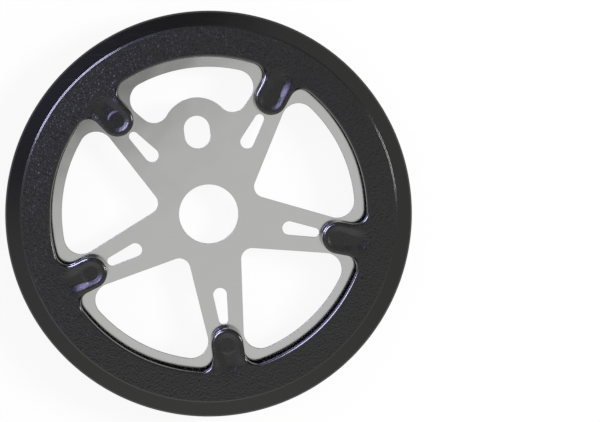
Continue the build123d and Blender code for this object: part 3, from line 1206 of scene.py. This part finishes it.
def studio_level(tree, coords, stage):
    """Brightness of the studio in a reflection.

    It is brighter below the wheel, dimmer above and to the right, and dark behind the camera.
    """
    axes = add_node(tree, "ShaderNodeSeparateXYZ", (-1300, -300), {"Vector": coords}).outputs
    off_dark = add_distance(tree, (-1300, -600), coords, DARK_MIDDLE)
    falls = (
        (axes["Y"], (-0.55, -0.13), (1.8, 1.0)),
        (axes["Y"], (0.1, 0.5), (1.0, 0.6)),
        (axes["X"], (0.15, 0.45), (1.0, 0.75)),
        (off_dark, (0.222, 0.278), (0.02, 1.0)),
    )
    level = stage.studio_level
    for i, (value, before, after) in enumerate(falls):
        part = add_range(tree, (-1000, -200 * i), value, before, after, "SMOOTHSTEP")
        level = add_math(tree, (-800 + 150 * i, -200 * i), "MULTIPLY", part, level)
    return level


def panel_direction(azimuth, tilt):
    """Unit vector from the wheel's centre to a light."""
    return Vector((*polar(math.sin(tilt), azimuth), math.cos(tilt)))


def build_world(stage):
    """White surroundings: even light on the object, a white background, a studio to reflect."""
    world = bpy.data.worlds.new("Studio")
    bpy.context.scene.world = world
    world.use_nodes = True
    tree = world.node_tree
    tree.nodes.clear()
    coords = add_node(tree, "ShaderNodeTexCoord", (-1500, -400)).outputs["Generated"]
    path = add_node(tree, "ShaderNodeLightPath", (0, 300)).outputs
    towards_key = panel_direction(stage.key_azimuth, stage.glow_tilt)
    from_key = add_distance(tree, (-600, -900), coords, towards_key)
    glow_fall = add_range(
        tree, (-400, -900), from_key, GLOW_FALL, (stage.glow_level, 0.0), "SMOOTHSTEP"
    )
    plain = add_background(tree, (0, 0), WHITE, stage.world_level)
    studio = add_background(tree, (0, -250), WHITE, studio_level(tree, coords, stage))
    glow = add_background(tree, (0, -650), stage.glow_colour, glow_fall)
    white = add_background(tree, (0, -450), WHITE, 1.0)
    both = add_node(tree, "ShaderNodeAddShader", (150, -350), {0: studio, 1: glow})
    reflected = add_shader_mix(
        tree, (250, 0), path["Is Glossy Ray"], plain, both.outputs["Shader"]
    )
    shown = add_shader_mix(tree, (450, 0), path["Is Camera Ray"], reflected, white)
    add_node(tree, "ShaderNodeOutputWorld", (650, 0), {"Surface": shown})


def add_panel(name, azimuth, tilt, distance, width, height, power, colour):
    """A soft panel that faces the wheel's centre from a tilt off the crank axis."""
    light = bpy.data.lights.new(name, "AREA")
    light.shape = "RECTANGLE"
    light.size, light.size_y = width, height
    light.energy = power
    light.color = colour
    lamp = bpy.data.objects.new(name, light)
    bpy.context.scene.collection.objects.link(lamp)
    lamp.location = distance * panel_direction(azimuth, tilt)
    lamp.rotation_mode = "QUATERNION"
    lamp.rotation_quaternion = lamp.location.to_track_quat("Z", "Y")
    return lamp


def add_floor(stage):
    """A wide floor just below the part."""
    corners = ((-1, -1), (1, -1), (1, 1), (-1, 1))
    height = cad_box[0].z - FLOOR_GAP
    bm = bmesh.new()
    bm.faces.new([bm.verts.new((x * FLOOR_HALF, y * FLOOR_HALF, height)) for x, y in corners])
    floor = new_piece("floor", bm)
    floor.data.materials.append(floor_material(stage))


def add_camera(stage):
    """A camera that looks at the bore, with the frame shifted to place the wheel."""
    scene = bpy.context.scene
    data = bpy.data.cameras.new("camera")
    data.lens = stage.lens
    data.shift_x, data.shift_y = stage.shift_x, stage.shift_y
    data.clip_start = 0.01
    camera = bpy.data.objects.new("camera", data)
    scene.collection.objects.link(camera)
    azimuth, elevation = stage.camera_azimuth, stage.camera_elevation
    level = math.cos(elevation)
    towards = Vector((-math.sin(azimuth) * level, math.sin(elevation), math.cos(azimuth) * level))
    across = Vector((0, 1, 0)).cross(towards).normalized()
    axes = Matrix((across, towards.cross(across), towards)).transposed()
    camera.location = stage.camera_distance * towards
    camera.rotation_mode = "QUATERNION"
    camera.rotation_quaternion = axes.to_quaternion()
    scene.camera = camera


class CHAINWHEEL_OT_stage(bpy.types.Operator):
    """Make the floor, the lights and the camera"""

    bl_idname = "chainwheel.stage"
    bl_label = "Make Stage"

    def execute(self, context):
        stage = context.scene.stage_settings
        context.scene.view_settings.view_transform = "Standard"
        build_world(stage)
        add_floor(stage)
        key = add_panel(
            "key_light", stage.key_azimuth, stage.key_tilt, stage.key_distance,
            stage.key_width, stage.key_height, stage.key_power, stage.key_colour,
        )
        # The key only draws highlights, so that colours keep their written level
        key.visible_diffuse = False
        add_panel(
            "fill_light", stage.fill_azimuth, stage.fill_tilt, stage.fill_distance,
            stage.fill_width, stage.fill_width, stage.fill_power, WHITE,
        )
        add_camera(stage)
        return {"FINISHED"}


class CHAINWHEEL_PT_panel(bpy.types.Panel):
    """Sidebar panel with the sizes, the finishes and the operators"""

    bl_label = "Guarded Chainwheel"
    bl_idname = "CHAINWHEEL_PT_panel"
    bl_space_type = "VIEW_3D"
    bl_region_type = "UI"
    bl_category = "Chainwheel"

    def draw(self, context):
        for operator in OPERATORS:
            self.layout.operator(operator.bl_idname)
        for name, group in SETTINGS.items():
            box = self.layout.box()
            box.label(text=group.__doc__)
            for field in group.__annotations__:
                box.prop(getattr(context.scene, name), field)


OPERATORS = (CHAINWHEEL_OT_wheel, CHAINWHEEL_OT_guards, CHAINWHEEL_OT_screws, CHAINWHEEL_OT_stage)
CLASSES = (*SETTINGS.values(), *OPERATORS, CHAINWHEEL_PT_panel)


def register():
    """Registers the classes and hangs the settings on the scene."""
    for cls in CLASSES:
        bpy.utils.register_class(cls)
    for name, group in SETTINGS.items():
        setattr(bpy.types.Scene, name, PointerProperty(type=group))


def unregister():
    """Takes the settings off the scene and unregisters the classes."""
    for name in SETTINGS:
        delattr(bpy.types.Scene, name)
    for cls in reversed(CLASSES):
        bpy.utils.unregister_class(cls)


def main():
    """Registers the add-on, then builds every piece and the stage."""
    register()
    bpy.ops.chainwheel.wheel()
    bpy.ops.chainwheel.guards()
    bpy.ops.chainwheel.screws()
    bpy.ops.chainwheel.stage()


if __name__ == "__main__":
    main()
